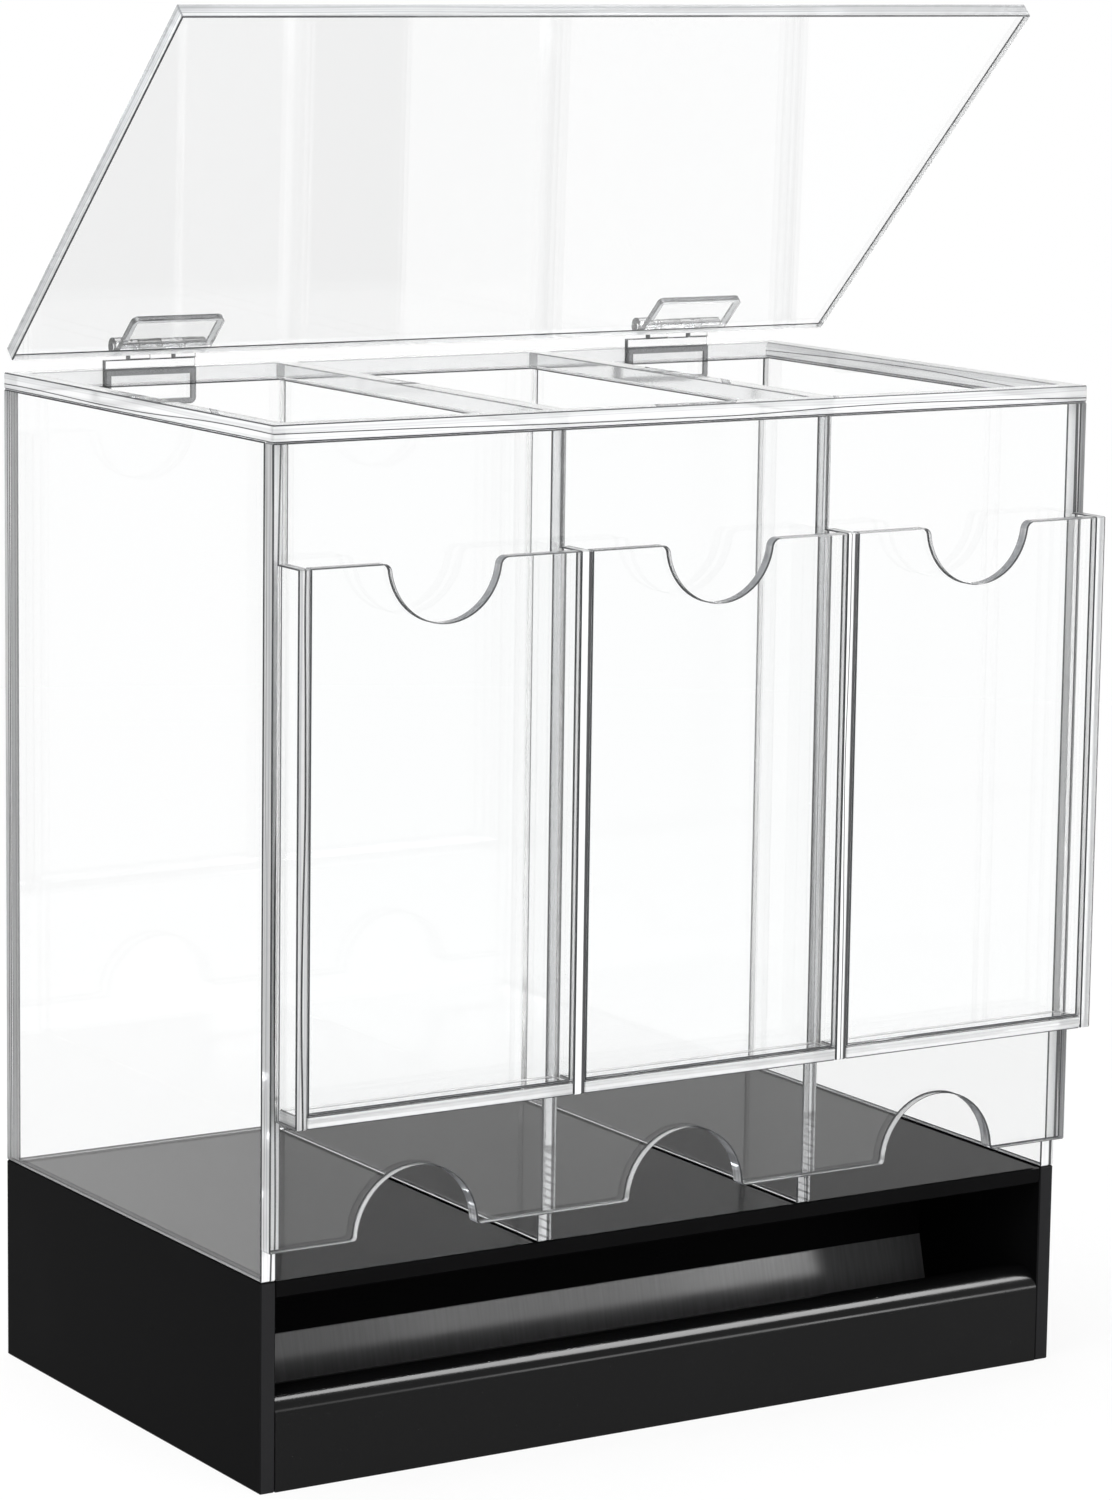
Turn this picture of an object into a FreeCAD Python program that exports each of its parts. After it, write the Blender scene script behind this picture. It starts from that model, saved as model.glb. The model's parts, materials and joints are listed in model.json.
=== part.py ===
import FreeCAD, Part
import math
import os

os.makedirs("parts", exist_ok=True)
Vector = FreeCAD.Vector

# Clear dispenser case on a black base, in millimetres.
# X runs across the bays, Y runs from the front to the back, Z is up.
# The origin is the middle of the base underside.

# Case: outside sizes and sheets
case_width = 226.0          # outside of both side panels
case_depth = 131.0          # front edges of the side panels to the outside of the back
wall_top = 242.0            # top of the clear walls
wall_sheet = 4.0            # clear walls and dividers
glue_line = 0.1             # seam between bonded pieces
edge_break = 0.3            # polished corner on every sheet edge
bay_count = 3

# Base: black box under the bays, with a drop tray open to the front
base_height = 50.0          # floor to the top of the pack platform
base_sheet = 4.0
bend_radius = 2.0           # inside of each bend of the tray sheet
lip_height = 23.5           # top of the rolled lip
lip_depth = 13.0            # front of the fascia to the back of the lip
tray_depth = 50.0           # front of the fascia to the riser
ramp_height = 13.2          # leaning foot of the riser
ramp_lean = 15.0            # degrees back from upright

# Front panel: pack slot under it, finger arches in its lower edge
slot_height = 7.7
arch_radius = 16.0
arch_foot_radius = 1.2

# Display pockets on the front panel
pocket_sheet = 3.0
pocket_gap = 7.0            # room for a card or a pack between the panel and the pocket front
pocket_bottom = 88.4        # underside of the shelves
pocket_height = 126.8
pocket_inset = 1.0          # ends of the pocket row stand in from the case sides
notch_radius = 14.2
notch_shoulder_radius = 2.2

# Top frame around the three loading mouths
rim_thickness = 4.0
rim_overhang = 1.0          # past the front, the sides and the dividers, into each bay

# Lid
lid_thickness = 4.0
lid_overhang = 5.0          # past the case at each end
lid_seat_gap = 0.2          # closed lid above the top frame
lid_open_angle = 44.0       # degrees, as it stands at rest

# Hinges: one leaf inside the back panel, the other on top of the lid
hinge_width = 25.0
hinge_inset = 37.2          # middle of each hinge in from the end of the case
knuckle_count = 4
knuckle_radius = 2.2
knuckle_gap = 0.3           # along the pin, between neighbouring knuckles
knuckle_clearance = 0.4     # between a knuckle and the other leaf or the lid edge
pin_radius = 0.9
pin_clearance = 0.05
leaf_thickness = 1.8
knuckle_bite = 0.6          # knuckles sunk into the face of their leaf
leaf_border = 1.5           # raised frame round each leaf
leaf_recess = 0.6           # panel inside the frame, and the neck over it
leaf_corner_radius = 1.6
leaf_edge_break = 0.25      # round the seen face of each leaf
case_leaf_drop = 9.0        # below the top of the rim
neck_height = 2.4           # above the top of the rim, under the tabs of the knuckles
lid_leaf_length = 11.0      # in from the edge of the lid

overrun = 1.0               # cutters run this far past what they cut

# Places worked out from the sizes above
half_width = case_width / 2
front = -case_depth / 2
back = case_depth / 2
inner_half = half_width - wall_sheet
inner_back = back - wall_sheet
base_inner_half = half_width - base_sheet
base_inner_back = back - base_sheet
bay_width = (case_width - (bay_count + 1) * wall_sheet) / bay_count
bay_pitch = bay_width + wall_sheet
bay_centres = [(i - (bay_count - 1) / 2) * bay_pitch for i in range(bay_count)]
divider_centres = [(i - bay_count / 2) * bay_pitch for i in range(1, bay_count)]
walls_foot = base_height + glue_line
panel_back = front - glue_line
panel_front = panel_back - wall_sheet
panel_foot = base_height + slot_height
pocket_back = panel_front - glue_line
pocket_front = pocket_back - pocket_gap - pocket_sheet
pocket_top = pocket_bottom + pocket_height
rim_foot = wall_top + glue_line
rim_top = rim_foot + rim_thickness
lid_foot = rim_top + lid_seat_gap
lid_top = lid_foot + lid_thickness
case_leaf_back = inner_back - glue_line
lid_leaf_back = lid_top + glue_line
case_leaf_face = case_leaf_back - leaf_thickness
lid_leaf_face = lid_leaf_back + leaf_thickness
hinge_y = case_leaf_face + knuckle_bite - knuckle_radius
hinge_z = lid_leaf_face - knuckle_bite + knuckle_radius
hinge_axis = Vector(0, hinge_y, hinge_z)
hinge_centre = half_width - hinge_inset
lid_edge = hinge_y - knuckle_radius - knuckle_clearance
knuckle_pitch = hinge_width / knuckle_count
knuckle_length = knuckle_pitch - knuckle_gap
case_knuckles = range(1, knuckle_count, 2)
lid_knuckles = range(0, knuckle_count, 2)


def block(x_low, x_high, y_low, y_high, z_low, z_high):
    return Part.makeBox(x_high - x_low, y_high - y_low, z_high - z_low, Vector(x_low, y_low, z_low))


def broken(shape):
    return shape.makeChamfer(edge_break, shape.Edges)


def sheet(x_low, x_high, y_low, y_high, z_low, z_high):
    return broken(block(x_low, x_high, y_low, y_high, z_low, z_high))


def save(name, shape):
    shape.exportStep("parts/" + name + ".step")


# Round bites in a straight edge

def bite_edges(y, centre, edge, radius, corner, way):
    # way is 1 for a bite upwards and -1 for one downwards; its two corners are rounded
    reach = math.sqrt((radius + corner) ** 2 - corner ** 2)
    touch = radius / (radius + corner)
    slant = math.atan2(corner, reach)
    half_turn = (math.pi / 2 + slant) / 2
    places = {}
    for side in (-1, 1):
        corner_x = centre + side * reach
        middle_x = corner_x - side * corner * math.cos(half_turn)
        start = Vector(corner_x, y, edge)
        middle = Vector(middle_x, y, edge + way * (corner - corner * math.sin(half_turn)))
        end = Vector(centre + side * reach * touch, y, edge + way * corner * touch)
        places[side] = (start, middle, end)
    crown = Vector(centre, y, edge + way * radius)
    left, right = places[-1], places[1]
    edges = [
        Part.Arc(*left).toShape(),
        Part.Arc(left[2], crown, right[2]).toShape(),
        Part.Arc(*reversed(right)).toShape(),
    ]
    return left[0], right[0], edges


def bitten_sheet(x_low, x_high, y_low, y_high, z_low, z_high, centres, radius, corner, way):
    edge, far = (z_low, z_high) if way > 0 else (z_high, z_low)
    pen = Vector(x_low, y_low, edge)
    edges = []
    for centre in centres:
        start, end, curve = bite_edges(y_low, centre, edge, radius, corner, way)
        edges.append(Part.makeLine(pen, start))
        edges += curve
        pen = end
    for corner_x, corner_z in ((x_high, edge), (x_high, far), (x_low, far), (x_low, edge)):
        place = Vector(corner_x, y_low, corner_z)
        edges.append(Part.makeLine(pen, place))
        pen = place
    outline = Part.Face(Part.Wire(edges))
    return broken(outline.extrude(Vector(0, y_high - y_low, 0)))


# Bent sheet: its seen face runs along the points, with the thickness to the right of the way

def turn_between(before, after):
    return math.atan2(before.y * after.z - before.z * after.y, before.dot(after))


def headings(points):
    return [(b - a).normalize() for a, b in zip(points, points[1:])]


def right_of(way):
    return Vector(0, way.z, -way.y)


def offset_points(points, distance):
    ways = headings(points)
    moved = [points[0] + right_of(ways[0]) * distance]
    for i in range(1, len(points) - 1):
        turn = turn_between(ways[i - 1], ways[i])
        mitre = (right_of(ways[i - 1]) + right_of(ways[i])).normalize()
        moved.append(points[i] + mitre * (distance / math.cos(turn / 2)))
    moved.append(points[-1] + right_of(ways[-1]) * distance)
    return moved


def rounded_path(points, radii):
    ways = headings(points)
    pen = points[0]
    edges = []
    for i in range(1, len(points) - 1):
        turn = turn_between(ways[i - 1], ways[i])
        radius = radii[i - 1]
        cut = radius * math.tan(abs(turn) / 2)
        start = points[i] - ways[i - 1] * cut
        end = points[i] + ways[i] * cut
        inward = (ways[i] - ways[i - 1]).normalize()
        middle = points[i] + inward * (radius / math.cos(turn / 2) - radius)
        edges.append(Part.makeLine(pen, start))
        edges.append(Part.Arc(start, middle, end).toShape())
        pen = end
    edges.append(Part.makeLine(pen, points[-1]))
    return edges


def bent_sheet(points, radius, thickness, width):
    turns = [turn_between(a, b) for a, b in zip(headings(points), headings(points)[1:])]
    seen_radii = [radius if turn > 0 else radius + thickness for turn in turns]
    hidden_radii = [radius + thickness if turn > 0 else radius for turn in turns]
    hidden = offset_points(points, thickness)
    edges = rounded_path(points, seen_radii)
    edges.append(Part.makeLine(points[-1], hidden[-1]))
    edges += rounded_path(hidden, hidden_radii)
    edges.append(Part.makeLine(hidden[0], points[0]))
    outline = Part.Face(Part.Wire(Part.__sortEdges__(edges)))
    return outline.extrude(Vector(width, 0, 0))


# Black base

def make_base():
    fit_half = base_inner_half - glue_line
    save("base_left_side", sheet(-half_width, -base_inner_half, front, back, 0, base_height))
    save("base_right_side", sheet(base_inner_half, half_width, front, back, 0, base_height))
    save("base_back", sheet(-fit_half, fit_half, base_inner_back, back, 0, base_height))
    floor_front = front + base_sheet + glue_line
    floor_back = base_inner_back - glue_line
    save("base_floor", sheet(-fit_half, fit_half, floor_front, floor_back, 0, base_sheet))
    platform_foot = base_height - base_sheet
    save("pack_platform", sheet(-fit_half, fit_half, front, floor_back, platform_foot, base_height))

    tray_floor = base_sheet + glue_line + base_sheet
    lip_back = front + lip_depth
    riser = front + tray_depth
    ramp_foot = riser - ramp_height * math.tan(math.radians(ramp_lean))
    profile = (
        (front, 0),
        (front, lip_height),
        (lip_back, lip_height),
        (lip_back, tray_floor),
        (ramp_foot, tray_floor),
        (riser, tray_floor + ramp_height),
        (riser, platform_foot - glue_line),
    )
    points = [Vector(-fit_half, y, z) for y, z in profile]
    save("drop_tray", bent_sheet(points, bend_radius, base_sheet, 2 * fit_half))


# Clear walls

def make_walls():
    fit_half = inner_half - glue_line
    save("left_side_panel", sheet(-half_width, -inner_half, front, back, walls_foot, wall_top))
    save("right_side_panel", sheet(inner_half, half_width, front, back, walls_foot, wall_top))
    save("back_panel", sheet(-fit_half, fit_half, inner_back, back, walls_foot, wall_top))
    for name, centre in zip(("left_divider", "right_divider"), divider_centres):
        low, high = centre - wall_sheet / 2, centre + wall_sheet / 2
        save(name, sheet(low, high, front, inner_back - glue_line, walls_foot, wall_top))
    panel = bitten_sheet(-half_width, half_width, panel_front, panel_back, panel_foot, wall_top,
                         bay_centres, arch_radius, arch_foot_radius, 1)
    save("front_panel", panel)


def make_top_frame():
    frame = block(-half_width, half_width, panel_front, back, rim_foot, rim_top)
    mouth_half = bay_width / 2 - rim_overhang
    for centre in bay_centres:
        mouth = block(centre - mouth_half, centre + mouth_half,
                      front + rim_overhang, inner_back, rim_foot - overrun, rim_top + overrun)
        frame = frame.cut(mouth)
    save("top_frame", broken(frame))


# Display pockets

def make_pockets():
    end_centre = half_width - pocket_inset - pocket_sheet / 2
    wall_centres = [-end_centre] + divider_centres + [end_centre]
    for number, centre in enumerate(wall_centres, 1):
        low, high = centre - pocket_sheet / 2, centre + pocket_sheet / 2
        wall = sheet(low, high, pocket_front, pocket_back, pocket_bottom, pocket_top)
        save("pocket_wall_" + str(number), wall)
    names = ("left", "middle", "right")
    for name, centre, low_wall, high_wall in zip(names, bay_centres, wall_centres, wall_centres[1:]):
        low = low_wall + pocket_sheet / 2 + glue_line
        high = high_wall - pocket_sheet / 2 - glue_line
        shelf_top = pocket_bottom + pocket_sheet
        shelf = sheet(low, high, pocket_front, pocket_back, pocket_bottom, shelf_top)
        save(name + "_pocket_shelf", shelf)
        face = bitten_sheet(low, high, pocket_front, pocket_front + pocket_sheet,
                            shelf_top + glue_line, pocket_top,
                            [centre], notch_radius, notch_shoulder_radius, -1)
        save(name + "_pocket_front", face)


# Lid and hinges: the lid side is made shut, then swung open about the hinge axis

def swung(shape):
    turned = shape.copy()
    turned.rotate(hinge_axis, Vector(1, 0, 0), -lid_open_angle)
    return turned


def barrel(centre, radius, knuckles):
    low = centre - hinge_width / 2
    starts = [low + i * knuckle_pitch + knuckle_gap / 2 for i in knuckles]
    return [Part.makeCylinder(radius, knuckle_length, Vector(x, hinge_y, hinge_z), Vector(1, 0, 0)) for x in starts]


def corner_rounded(plate, way, far):
    # Rounds the two corners of a leaf at its far edge; way 1 is along Y and 2 along Z
    across = 3 - way
    edges = []
    for edge in plate.Edges:
        places = [vertex.Point for vertex in edge.Vertexes]
        if abs(places[0][across] - places[1][across]) < leaf_thickness / 2:
            continue
        if all(abs(place[way] - far) < leaf_thickness / 2 for place in places):
            edges.append(edge)
    return plate.makeFillet(leaf_corner_radius, edges)


def face_broken(plate, way, face):
    # Breaks the edges round the seen face of a leaf; way 1 is along Y and 2 along Z
    edges = []
    for edge in plate.Edges:
        if all(abs(vertex.Point[way] - face) < leaf_thickness / 2 for vertex in edge.Vertexes):
            edges.append(edge)
    return plate.makeChamfer(leaf_edge_break, edges)


def joined(plate, tabs, knuckles, centre):
    leaf = plate.fuse(tabs + knuckles).removeSplitter()
    bore = Part.makeCylinder(pin_radius + pin_clearance, hinge_width + 2 * overrun,
                             Vector(centre - hinge_width / 2 - overrun, hinge_y, hinge_z), Vector(1, 0, 0))
    return leaf.cut(bore)


def case_leaf(centre):
    low, high = centre - hinge_width / 2, centre + hinge_width / 2
    foot = rim_top - case_leaf_drop
    neck_top = rim_top + neck_height
    plate = corner_rounded(block(low, high, case_leaf_face, case_leaf_back, foot, rim_top), 2, foot)
    recess_back = case_leaf_face + leaf_recess
    panel = block(low + leaf_border, high - leaf_border, case_leaf_face - overrun, recess_back,
                  foot + leaf_border, rim_top - leaf_border)
    plate = face_broken(plate, 1, case_leaf_face).cut(panel)
    neck = block(low, high, recess_back, case_leaf_back, rim_top, neck_top)
    tabs = [face_broken(neck, 1, recess_back)]
    knuckles = barrel(centre, knuckle_radius, case_knuckles)
    for knuckle in knuckles:
        ends = knuckle.BoundBox
        tab = block(ends.XMin, ends.XMax, case_leaf_face, case_leaf_back, neck_top, hinge_z)
        tabs.append(face_broken(tab, 1, case_leaf_face))
    return joined(plate, tabs, knuckles, centre)


def lid_leaf(centre):
    low, high = centre - hinge_width / 2, centre + hinge_width / 2
    far = lid_edge - lid_leaf_length
    plate = corner_rounded(block(low, high, far, lid_edge, lid_leaf_back, lid_leaf_face), 1, far)
    panel = block(low + leaf_border, high - leaf_border, far + leaf_border, lid_edge - leaf_border,
                  lid_leaf_face - leaf_recess, lid_leaf_face + overrun)
    plate = face_broken(plate, 2, lid_leaf_face).cut(panel)
    knuckles = barrel(centre, knuckle_radius, lid_knuckles)
    tabs = []
    for knuckle in knuckles:
        ends = knuckle.BoundBox
        tabs.append(block(ends.XMin, ends.XMax, lid_edge, hinge_y, lid_leaf_back, lid_leaf_face))
    return joined(plate, tabs, knuckles, centre)


def make_lid():
    lid_half = half_width + lid_overhang
    lid = sheet(-lid_half, lid_half, front, lid_edge, lid_foot, lid_top)
    save("lid_panel", swung(lid))
    for name, centre in (("left", -hinge_centre), ("right", hinge_centre)):
        save(name + "_hinge_case_leaf", case_leaf(centre))
        save(name + "_hinge_lid_leaf", swung(lid_leaf(centre)))
        pin = Part.makeCylinder(pin_radius, hinge_width, Vector(centre - hinge_width / 2, hinge_y, hinge_z),
                                Vector(1, 0, 0))
        save(name + "_hinge_pin", pin)


make_base()
make_walls()
make_top_frame()
make_pockets()
make_lid()
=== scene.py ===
import bpy
import json
import math
from mathutils import Matrix, Vector

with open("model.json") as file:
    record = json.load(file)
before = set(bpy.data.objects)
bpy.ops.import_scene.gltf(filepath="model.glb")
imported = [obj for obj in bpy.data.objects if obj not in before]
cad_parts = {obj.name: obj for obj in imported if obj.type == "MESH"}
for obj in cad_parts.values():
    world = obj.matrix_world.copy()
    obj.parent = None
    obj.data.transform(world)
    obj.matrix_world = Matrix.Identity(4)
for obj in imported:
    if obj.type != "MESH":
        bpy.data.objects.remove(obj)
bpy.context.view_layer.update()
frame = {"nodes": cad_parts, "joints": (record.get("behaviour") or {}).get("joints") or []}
nodes = frame["nodes"]


# one shader value; sums and products of values become Math nodes
class Value:
    def __init__(self, tree, socket):
        self.tree = tree
        self.socket = socket

    def node(self, kind, settings=None, inputs=None, out=0):
        made = self.tree.nodes.new(kind)
        for key, setting in (settings or {}).items():
            setattr(made, key, setting)
        for key, given in (inputs or {}).items():
            if isinstance(given, Value):
                self.tree.links.new(given.socket, made.inputs[key])
            else:
                made.inputs[key].default_value = given
        return Value(self.tree, made.outputs[out]) if made.outputs else None

    def maths(self, operation, *values):
        return self.node("ShaderNodeMath", {"operation": operation}, dict(enumerate(values)))

    def vectors(self, operation, *values, out=0):
        return self.node("ShaderNodeVectorMath", {"operation": operation}, dict(enumerate(values)), out)

    def __add__(self, other):
        return self.maths("ADD", self, other)

    def __sub__(self, other):
        return self.maths("SUBTRACT", self, other)

    def __rsub__(self, other):
        return self.maths("SUBTRACT", other, self)

    def __mul__(self, other):
        return self.maths("MULTIPLY", self, other)

    __radd__ = __add__
    __rmul__ = __mul__

    def size(self):  # without its sign
        return self.maths("ABSOLUTE", self)

    def most(self, other):
        return self.maths("MAXIMUM", self, other)

    def between(self, low, high):  # 0 below low, 1 above high, smooth between
        return self.node("ShaderNodeMapRange", {"interpolation_type": "SMOOTHSTEP"},
                         {"Value": self, "From Min": low, "From Max": high})

    def noise(self, scale, detail=2.0, rough=0.5):
        return self.node("ShaderNodeTexNoise", None,
                         {"Vector": self, "Scale": scale, "Detail": detail, "Roughness": rough})

    def specks(self, scale):
        return self.node("ShaderNodeTexVoronoi", {"feature": "F1"}, {"Vector": self, "Scale": scale})

    def stripes(self):
        return self.node("ShaderNodeTexNoise", {"noise_dimensions": "1D"},
                         {"W": self, "Scale": 1.0, "Detail": 2.0})

    def along(self, way):
        return self.vectors("DOT_PRODUCT", self, way, out="Value")

    def length(self):
        return self.vectors("LENGTH", self, out="Value")

    def stretched(self, x, y, z):
        return self.vectors("MULTIPLY", self, (x, y, z))

    def blend(self, low, high):  # colour from low to high as the value goes from 0 to 1
        low, high = [end if isinstance(end, Value) else (*end, 1) for end in (low, high)]
        return self.node("ShaderNodeMix", {"data_type": "RGBA"}, {0: self, 6: low, 7: high}, 2)


sideways = (1, 0, 0)
backwards = (0, 1, 0)
upwards = (0, 0, 1)


def newMaterial(name):
    material = bpy.data.materials.new(name)
    material.use_nodes = True
    material.node_tree.nodes.clear()
    start = Value(material.node_tree, None)
    place = start.node("ShaderNodeTexCoord", out="Object")
    normal = start.node("ShaderNodeTexCoord", out="Normal")
    return material, place, normal


def finishMaterial(place, surface, volume=None):
    ends = {"Surface": surface}
    if volume:
        ends["Volume"] = volume
    place.node("ShaderNodeOutputMaterial", None, ends)


def absorbing(place, look):
    return place.node("ShaderNodeVolumeAbsorption", None, {
        "Color": look["absorbColour"], "Density": look["absorbDensity"],
    })


def dress(names, material):
    for name in names:
        mesh = nodes[name].data
        mesh.materials.clear()
        mesh.materials.append(material)


hinge = frame["joints"][0]
hingeAxis = Vector(hinge["pos_m"])
lidOpen = math.radians(-hinge["range_deg"][0])
lidUp = (0, math.sin(lidOpen), math.cos(lidOpen))
lidRear = (0, math.cos(lidOpen), -math.sin(lidOpen))

# clear cast sheet: bright faces, polished corners painted dark as a painted reflection, cut edges with long streaks
clearSheet = {
    "ior": 1.49,
    "absorbColour": (0.72, 0.8, 0.82, 1),
    "absorbDensity": 1.2,
    "faceTint": (0.996, 0.998, 0.998),
    "faceFrom": (0.85, 0.95),    # share of the normal that runs across the sheet
    "faceGloss": 0.004,
    "smudgeSize": 9.0,
    "smudgeFrom": (0.52, 0.75),
    "smudgeGloss": 0.015,
    "dustSize": 420.0,
    "dustReach": (0.0, 0.13),
    "dustGloss": 0.008,
    "waveSize": 14.0,
    "waveDepth": 0.00002,
    "waveStrength": 0.5,
    "cornerReflectionTone": (0.04, 0.042, 0.045),
    "cornerHaze": 0.85,
    "cutUpTo": (0.2, 0.4),
    "cutGloss": 0.06,
    "sawSize": 1600.0,
    "sawDepth": 0.4,
    "sawnGloss": 0.3,
    "sawnSpecular": 0.25,
}

# tones across a cut edge, in bands that run along it; its dark lines and dark stripe are painted dark reflection
cutEdge = {
    "pale": (0.9, 0.905, 0.91),
    "grey": (0.4, 0.41, 0.42),
    "streakPitch": 900.0,    # streaks per metre
    "streakFrom": (0.38, 0.66),
    "driftSize": 11.0,
    "drift": 2.0,
    "dark": (0.02, 0.02, 0.022),
    "darkShare": 0.95,
    "linePitch": 520.0,
    "lineFrom": (0.585, 0.615),
    "bayPitch": 0.074,
    "stripeStart": (0.0004, 0.0006),    # painted dark reflection stripe to the right of the middle of the edge
    "stripeEnd": (0.0012, 0.0014),
    "stripeFrom": (-0.09, -0.06),    # the left end has none
    # top: grey painted on upward cut edges and on the lid's rear edge, a painted shade
    "top": (0.16, 0.165, 0.17),
    "topShare": 0.75,
    "topFrom": (0.3, 0.9),
    "topBelow": (0.225, 0.235),    # the case's own top edges, over this, stay pale
    "lidRearFrom": (0.9, 0.98),
    "bite": (0.3, 0.31, 0.33),    # round bites take a darker painted shade
    "biteShare": 0.8,
    "biteFrom": (0.05, 0.3),
}

# edges of the loading mouths stay clear, and their corners take a paler painted reflection
mouthEdge = {
    "ends": (0.1095, 0.111),
    "front": (-0.067, -0.0655),
    "cornerReflectionTone": (0.45, 0.455, 0.46),
    "clearShare": 0.8,
}

# shades: least and most grey on a cut edge; haze: share of it that is sawn dull
sheets = {
    "PocketEnd": {"facing": sideways, "shades": (0.03, 0.6), "haze": 0.5, "names": [
        "pocket_wall_1", "pocket_wall_4"]},
    "Divider": {"facing": sideways, "shades": (0.0, 0.1), "haze": 0.2, "names": [
        "left_divider", "right_divider"]},
    "Wall": {"facing": sideways, "shades": (0.0, 0.2), "haze": 0.85, "names": [
        "left_side_panel", "right_side_panel", "pocket_wall_2", "pocket_wall_3"]},
    "Upright": {"facing": backwards, "shades": (0.05, 0.7), "haze": 0.5, "names": [
        "front_panel", "back_panel", "left_pocket_front", "middle_pocket_front", "right_pocket_front"]},
    "Level": {"facing": upwards, "shades": (0.03, 0.5), "haze": 0.5, "names": [
        "top_frame", "left_pocket_shelf", "middle_pocket_shelf", "right_pocket_shelf"]},
    # the lid's cut edges take heavier grey: streaks, and partly painted shade
    "Lid": {"facing": lidUp, "shades": (0.3, 0.9), "haze": 0.5, "names": ["lid_panel"]},
}


def mouthMask(place):
    inside = 1 - place.along(sideways).size().between(*mouthEdge["ends"])
    return inside * place.along(backwards).between(*mouthEdge["front"])


# painted dark reflection stripe on the walls' cut edges
def darkStripe(place):
    aside = place.along(sideways)
    pitch = cutEdge["bayPitch"]
    offset = aside.maths("FLOORED_MODULO", aside + pitch, pitch) - pitch / 2    # from the middle of a wall
    stripe = offset.between(*cutEdge["stripeStart"]) * (1 - offset.between(*cutEdge["stripeEnd"]))
    return stripe * aside.between(*cutEdge["stripeFrom"])


def topMask(name, place, normal):    # top edges, and the rear edge of the lid, darkened as painted shade
    if name == "Lid":
        return normal.along(lidRear).between(*cutEdge["lidRearFrom"])
    low = 1 - place.along(upwards).between(*cutEdge["topBelow"])
    return normal.along(upwards).between(*cutEdge["topFrom"]) * low


def edgeTone(name, place, normal, mouth):
    sheet = sheets[name]
    depth = place.along(sheet["facing"])
    drift = place.noise(cutEdge["driftSize"], 1.0) * cutEdge["drift"]
    streak = (depth * cutEdge["streakPitch"] + drift).stripes().between(*cutEdge["streakFrom"])
    line = (depth * cutEdge["linePitch"] - drift).stripes().between(*cutEdge["lineFrom"])
    low, high = sheet["shades"]
    grey = streak * (high - low) + low
    if mouth:
        grey = grey * (1 - mouth)
        line = line * (1 - mouth)
    if sheet["facing"] == sideways:
        line = line.most(darkStripe(place))
    bite = (normal.along(sideways) * normal.along(upwards)).size().between(*cutEdge["biteFrom"])
    tone = grey.blend(cutEdge["pale"], cutEdge["grey"])
    tone = (line * cutEdge["darkShare"]).blend(tone, cutEdge["dark"])
    tone = (topMask(name, place, normal) * cutEdge["topShare"]).blend(tone, cutEdge["top"])
    return (bite * cutEdge["biteShare"]).blend(tone, cutEdge["bite"])


def clearAcrylic(name):
    material, place, normal = newMaterial("clearAcrylic" + name)
    across = normal.along(sheets[name]["facing"]).size()
    cut = 1 - across.between(*clearSheet["cutUpTo"])
    face = across.between(*clearSheet["faceFrom"])
    haze = cut * sheets[name]["haze"] + (1 - face - cut) * clearSheet["cornerHaze"]
    # painted reflection: the corners take a dark tone
    corner = clearSheet["cornerReflectionTone"]
    mouth = mouthMask(place) if name == "Level" else None
    if mouth:
        haze = haze * (1 - mouth * mouthEdge["clearShare"])
        corner = mouth.blend(corner, mouthEdge["cornerReflectionTone"])
    colour = face.blend(corner, clearSheet["faceTint"])
    colour = cut.blend(colour, edgeTone(name, place, normal, mouth))
    smudge = place.noise(clearSheet["smudgeSize"], 3.0).between(*clearSheet["smudgeFrom"]) * face
    dust = (1 - place.specks(clearSheet["dustSize"]).between(*clearSheet["dustReach"])) * face
    gloss = clearSheet["faceGloss"] + smudge * clearSheet["smudgeGloss"]
    gloss = gloss + cut * clearSheet["cutGloss"] + dust * clearSheet["dustGloss"]
    saw = place.noise(clearSheet["sawSize"], 1.0) * cut
    bump = place.node("ShaderNodeBump", None, {
        "Strength": clearSheet["waveStrength"], "Distance": clearSheet["waveDepth"],
        "Height": place.noise(clearSheet["waveSize"], 1.0) + saw * clearSheet["sawDepth"],
    })
    clear = place.node("ShaderNodeBsdfPrincipled", None, {
        "Base Color": colour, "Roughness": gloss, "Normal": bump,
        "Transmission Weight": 1.0, "IOR": clearSheet["ior"],
    })
    sawn = place.node("ShaderNodeBsdfPrincipled", None, {
        "Base Color": colour, "Roughness": clearSheet["sawnGloss"], "Normal": bump,
        "Specular IOR Level": clearSheet["sawnSpecular"],
    })
    shader = place.node("ShaderNodeMixShader", None, {0: haze, 1: clear, 2: sawn})
    finishMaterial(place, shader, absorbing(place, clearSheet))
    return material


for name, sheet in sheets.items():
    dress(sheet["names"], clearAcrylic(name))
print("clear sheets dressed")


# black gloss sheet: faint dust, hand marks and a little orange peel
blackSheet = {
    "colour": (0.0035, 0.0035, 0.0037),
    "dustColour": (0.01, 0.01, 0.0107),
    "dustSize": 520.0,
    "dustReach": (0.0, 0.1),
    "dustShare": 0.6,
    "dustGloss": 0.1,
    "markSize": 14.0,
    "markFrom": (0.5, 0.8),
    "markShare": 0.15,
    "markGloss": 0.1,
    "dragStretch": (900.0, 60.0, 60.0),    # fine lines drawn up and down the sheet
    "dragGloss": 0.03,
    "dragDepth": 0.2,
    "peelSize": 180.0,
    "peelDepth": 0.00001,
    "peelStrength": 0.4,
    "edgeColour": (0.02, 0.02, 0.021),
    "edgeFrom": (0.6, 0.9),
    "edgeGloss": 0.2,
}

# leaning ramp at the back of the tray, with a lighter grey painted on it as a painted sheen
trayRamp = {
    "colour": (0.09, 0.09, 0.092),
    "facing": (0, -0.966, 0.259),
    "facingFrom": (0.992, 0.998),
    "from": (-0.03, -0.025),
    "sheenShare": 0.6,
    "sheenLines": 0.5,
}

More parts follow.
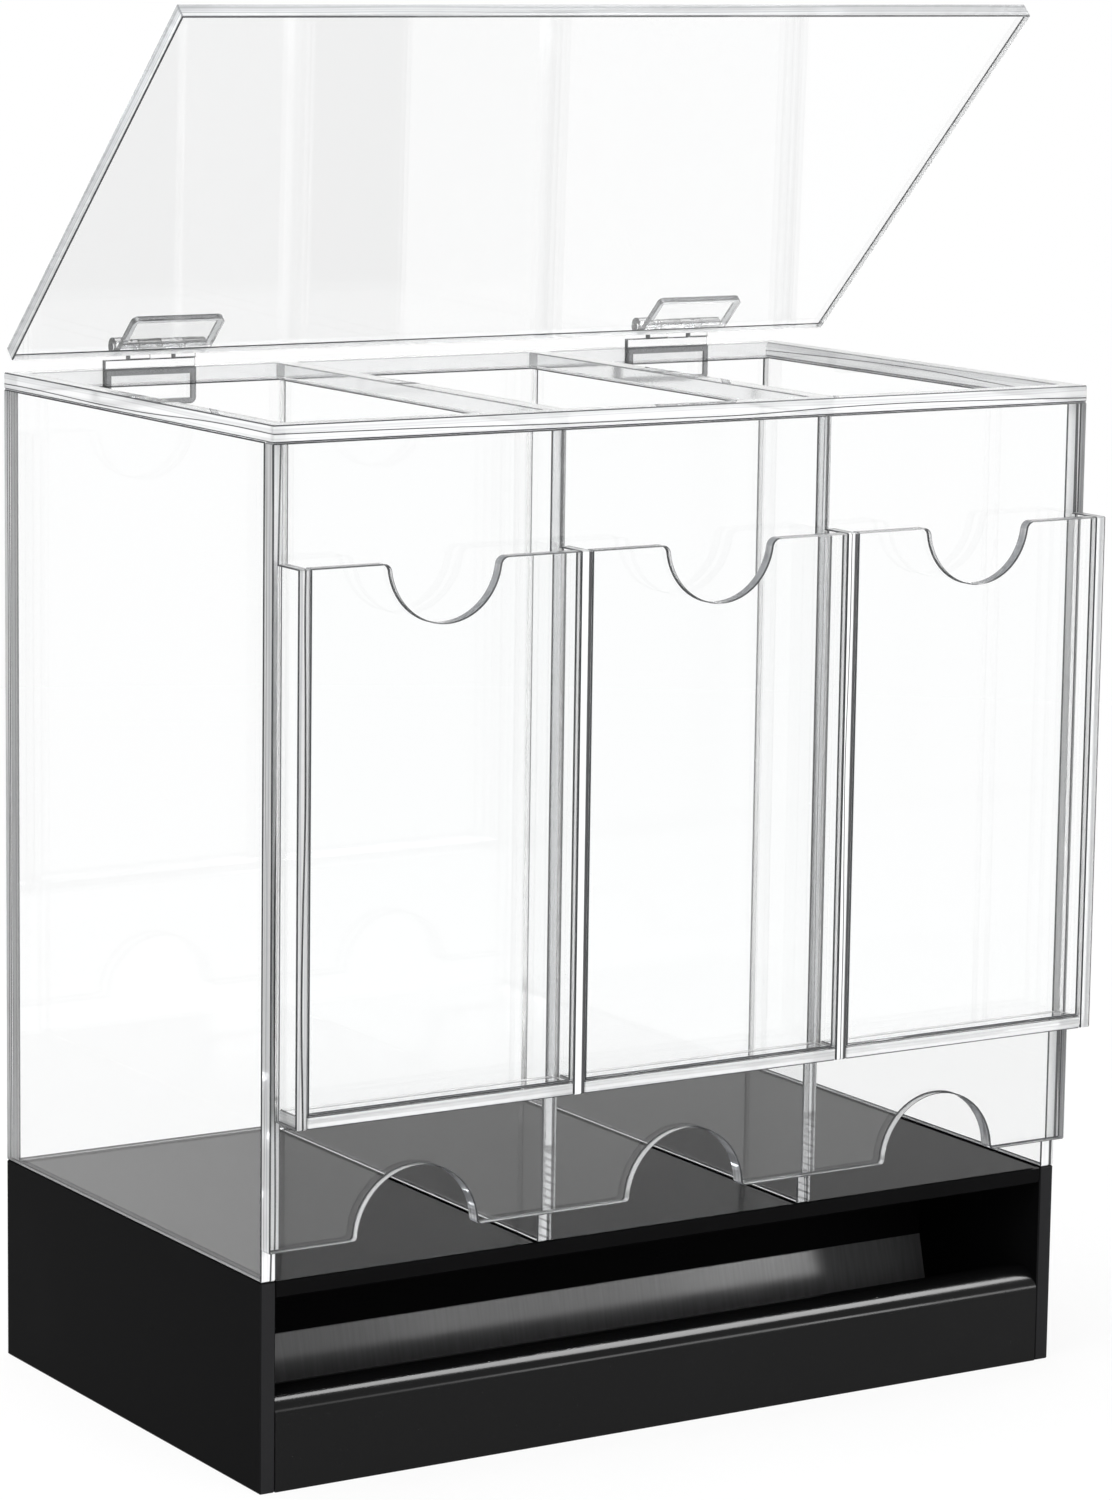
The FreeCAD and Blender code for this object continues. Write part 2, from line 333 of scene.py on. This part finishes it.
blackPieces = {
    "Sides": {"cut": backwards, "specular": 0.008, "gloss": 0.05, "names": [
        "base_left_side", "base_right_side"]},
    "Back": {"cut": upwards, "specular": 0.008, "gloss": 0.05, "names": ["base_back"]},
    "Platform": {"cut": (0, 0, 0), "specular": 0.02, "gloss": 0.05, "names": [    # cut edges as glossy as the faces
        "base_floor", "pack_platform"]},
    "Tray": {"cut": sideways, "specular": 0.14, "gloss": 0.1, "names": ["drop_tray"]},
}


def blackAcrylic(name):
    piece = blackPieces[name]
    material, place, normal = newMaterial("blackAcrylic" + name)
    marks = place.noise(blackSheet["markSize"], 4.0, 0.6).between(*blackSheet["markFrom"])
    dust = 1 - place.specks(blackSheet["dustSize"]).between(*blackSheet["dustReach"])
    drag = place.stretched(*blackSheet["dragStretch"]).noise(1.0, 2.0)
    dirt = dust * blackSheet["dustShare"] + marks * blackSheet["markShare"]
    # painted sheen: lighter grey laid on the ramp's face, streaked by the drag lines
    paintedSheen = normal.along(trayRamp["facing"]).between(*trayRamp["facingFrom"])
    paintedSheen = paintedSheen * place.along(backwards).between(*trayRamp["from"])
    paintedSheen = paintedSheen * (trayRamp["sheenShare"] + drag * trayRamp["sheenLines"])
    sawn = normal.along(piece["cut"]).size().between(*blackSheet["edgeFrom"])
    colour = dirt.blend(blackSheet["colour"], blackSheet["dustColour"])
    colour = paintedSheen.blend(colour, trayRamp["colour"])
    colour = sawn.blend(colour, blackSheet["edgeColour"])
    gloss = piece["gloss"] + marks * blackSheet["markGloss"] + drag * blackSheet["dragGloss"]
    gloss = gloss + dust * blackSheet["dustGloss"] + sawn * blackSheet["edgeGloss"]
    bump = place.node("ShaderNodeBump", None, {
        "Strength": blackSheet["peelStrength"], "Distance": blackSheet["peelDepth"],
        "Height": place.noise(blackSheet["peelSize"], 2.0) + drag * blackSheet["dragDepth"],
    })
    shader = place.node("ShaderNodeBsdfPrincipled", None, {
        "Base Color": colour, "Roughness": gloss, "Normal": bump, "Specular IOR Level": piece["specular"],
    })
    finishMaterial(place, shader)
    return material


for name, piece in blackPieces.items():
    dress(piece["names"], blackAcrylic(name))
print("black base dressed")


# moulded clear hinge: clear panels in grey frames, with painted shade wherever its surface turns
hingePlastic = {
    "ior": 1.5,
    "absorbColour": (0.6, 0.66, 0.68, 1),
    "absorbDensity": 2.0,
    "flatTint": (1.0, 1.0, 1.0),
    "flatFrom": (0.75, 0.9),
    "flowTint": (0.985, 0.988, 0.99),
    "flowStretch": (60.0, 260.0, 260.0),
    "flowFrom": (0.35, 0.7),
    "flowDepth": 0.00003,
    "flowStrength": 0.5,
    "gloss": 0.02,
    "flowGloss": 0.04,
    "grainSize": 900.0,
    "grainDepth": 0.3,
    "barrelReach": (0.00225, 0.0024),    # from the hinge axis
    "barrelFrom": (0.3, 0.85),
    "frameStep": (-0.002, -0.0018),    # height of the raised frame's edge below the hinge axis
    "frameFade": 0.0002,
}

# frameFrom: the raised frame starts this far from the hinge axis
leaves = {
    "Lid": {
        "facing": lidUp,
        "frameFrom": 0.0026,
        "frameTint": (0.35, 0.36, 0.37),
        "turnShade": (0.25, 0.255, 0.26),
        "names": ["left_hinge_lid_leaf", "right_hinge_lid_leaf"],
    },
    "Case": {
        "facing": (0, -1, 0),
        "frameFrom": 0.0064,
        "frameTint": (0.1, 0.102, 0.105),
        "turnShade": (0.04, 0.041, 0.042),
        "names": ["left_hinge_case_leaf", "right_hinge_case_leaf", "left_hinge_pin", "right_hinge_pin"],
    },
}


def hingeClear(name):
    leaf = leaves[name]
    material, place, normal = newMaterial("hingeClear" + name)
    fromAxis = place.vectors("SUBTRACT", place, hingeAxis).stretched(0, 1, 1).length()
    barrel = 1 - fromAxis.between(*hingePlastic["barrelReach"])
    flat = normal.along(leaf["facing"]).size().between(*hingePlastic["flatFrom"])
    front = normal.along(backwards).size().between(*hingePlastic["barrelFrom"])
    flat = flat * (1 - barrel) + front * barrel
    height = place.along(leaf["facing"]) - hingeAxis.dot(leaf["facing"])
    start = leaf["frameFrom"]
    clearOfAxis = fromAxis.between(start, start + hingePlastic["frameFade"])
    raised = height.between(*hingePlastic["frameStep"]) * clearOfAxis
    flow = place.stretched(*hingePlastic["flowStretch"]).noise(1.0, 3.0).between(*hingePlastic["flowFrom"])
    colour = flow.blend(hingePlastic["flatTint"], hingePlastic["flowTint"])
    colour = raised.blend(colour, leaf["frameTint"])
    # painted shade where the surface turns, and on the barrel away from its front
    colour = flat.blend(leaf["turnShade"], colour)
    bump = place.node("ShaderNodeBump", None, {
        "Strength": hingePlastic["flowStrength"], "Distance": hingePlastic["flowDepth"],
        "Height": flow + place.noise(hingePlastic["grainSize"], 1.0) * hingePlastic["grainDepth"],
    })
    shader = place.node("ShaderNodeBsdfPrincipled", None, {
        "Base Color": colour, "Roughness": hingePlastic["gloss"] + flow * hingePlastic["flowGloss"],
        "Normal": bump, "Transmission Weight": 1.0, "IOR": hingePlastic["ior"],
    })
    finishMaterial(place, shader, absorbing(place, hingePlastic))
    return material


for name, leaf in leaves.items():
    dress(leaf["names"], hingeClear(name))
print("hinges dressed")


# studio: pale floor, white surround, soft boxes
studio = {
    "floorSize": 6.0,
    "floorColour": (0.9, 0.9, 0.9, 1),
    "floorWhite": 0.88,    # share of plain white that the floor shows; the rest is lit and keeps the shadow
    "shadowReach": (0.25, 1.1),    # the floor turns plain white between these distances
    "white": (1, 1, 1, 1),
    "worldLight": 0.7,
    "zenithTone": 0.92,    # the surround is darker overhead
    "zenithFrom": (0.25, 0.75),
    "aim": (0, 0, 0.12),
}
softBoxes = [
    {"name": "topBox", "size": (0.9, 0.6), "place": (-0.15, 0.05, 1.25), "watts": 9.0},
    {"name": "leftBox", "size": (0.7, 1.0), "place": (-1.2, -0.5, 0.8), "watts": 8.0},
    {"name": "rightBox", "size": (0.45, 0.45), "place": (0.636, -0.456, 0.957), "watts": 18.0,
     "lightsMatt": False},    # shows only in gloss
    {"name": "frontBox", "size": (0.5, 0.3), "place": (0.15, -1.25, 0.42), "watts": 3.5},
]
lowBoxes = {    # brightening row mirrored in the tray's ramp
    "size": (0.18, 0.15),
    "across": (0.5, 0.68, 0.86),
    "along": -1.11,
    "height": 0.27,
    "watts": (0.3, 0.7, 1.2),
}


def seenDirectly(value):  # 1 for camera, mirror and see-through rays
    seen, mirrored, through = [
        value.node("ShaderNodeLightPath", out=key)
        for key in ("Is Camera Ray", "Is Glossy Ray", "Is Transmission Ray")
    ]
    return seen.most(mirrored).most(through)


def makeFloor():
    half = studio["floorSize"] / 2
    mesh = bpy.data.meshes.new("floor")
    corners = [(-half, -half, 0), (half, -half, 0), (half, half, 0), (-half, half, 0)]
    mesh.from_pydata(corners, [], [(0, 1, 2, 3)])
    floor = bpy.data.objects.new("floor", mesh)
    bpy.context.scene.collection.objects.link(floor)
    material, place = newMaterial("paleFloor")[:2]
    lit = place.node("ShaderNodeBsdfDiffuse", None, {"Color": studio["floorColour"]})
    white = place.node("ShaderNodeEmission", None, {"Color": studio["white"], "Strength": 1.0})
    away = place.length().between(*studio["shadowReach"])
    share = seenDirectly(place) * (studio["floorWhite"] + away * (1 - studio["floorWhite"]))
    finishMaterial(place, place.node("ShaderNodeMixShader", None, {0: share, 1: lit, 2: white}))
    mesh.materials.append(material)


def makeWorld():
    world = bpy.data.worlds.new("surround")
    bpy.context.scene.world = world
    world.use_nodes = True
    world.node_tree.nodes.clear()
    way = Value(world.node_tree, None).node("ShaderNodeTexCoord", out="Generated")
    height = way.node("ShaderNodeSeparateXYZ", None, {0: way}, 2)
    shown = 1 - height.between(*studio["zenithFrom"]) * (1 - studio["zenithTone"])
    seen = seenDirectly(way)
    strength = seen * shown + (1 - seen) * studio["worldLight"]
    light = way.node("ShaderNodeBackground", None, {"Color": studio["white"], "Strength": strength})
    way.node("ShaderNodeOutputWorld", None, {"Surface": light})


def softBox(name, size, place, watts, lightsMatt=True):
    data = bpy.data.lights.new(name, "AREA")
    data.shape = "RECTANGLE"
    data.size, data.size_y = size
    data.energy = watts
    lamp = bpy.data.objects.new(name, data)
    lamp.location = place
    lamp.visible_diffuse = lightsMatt
    aim = Vector(studio["aim"]) - Vector(place)
    lamp.rotation_euler = aim.to_track_quat("-Z", "Y").to_euler()
    bpy.context.scene.collection.objects.link(lamp)


makeFloor()
makeWorld()
for box in softBoxes:
    softBox(**box)
for x, watts in zip(lowBoxes["across"], lowBoxes["watts"]):
    softBox("lowBox", lowBoxes["size"], (x, lowBoxes["along"], lowBoxes["height"]), watts)
print("studio lit")


# camera: the photograph's place and lens
view = {
    "place": (-0.65429, -1.05016, 0.36343),
    "right": (0.84796, -0.52988, 0.01397),
    "up": (0.07658, 0.14856, 0.98593),
    "back": (-0.5245, -0.83496, 0.16655),
    "lens": 122.35,
    "sensor": 36.0,
    "bounces": 32,    # enough for light that runs along inside a sheet
}


def makeCamera():
    data = bpy.data.cameras.new("photoCamera")
    data.lens = view["lens"]
    data.sensor_width = view["sensor"]
    camera = bpy.data.objects.new("photoCamera", data)
    turn = Matrix((view["right"], view["up"], view["back"])).transposed()
    camera.matrix_world = Matrix.Translation(view["place"]) @ turn.to_4x4()
    bpy.context.scene.collection.objects.link(camera)
    bpy.context.scene.camera = camera


makeCamera()
scene = bpy.context.scene
scene.view_settings.view_transform = "Standard"
scene.cycles.max_bounces = view["bounces"]
scene.cycles.transmission_bounces = view["bounces"]
scene.cycles.glossy_bounces = view["bounces"]
print("camera set")
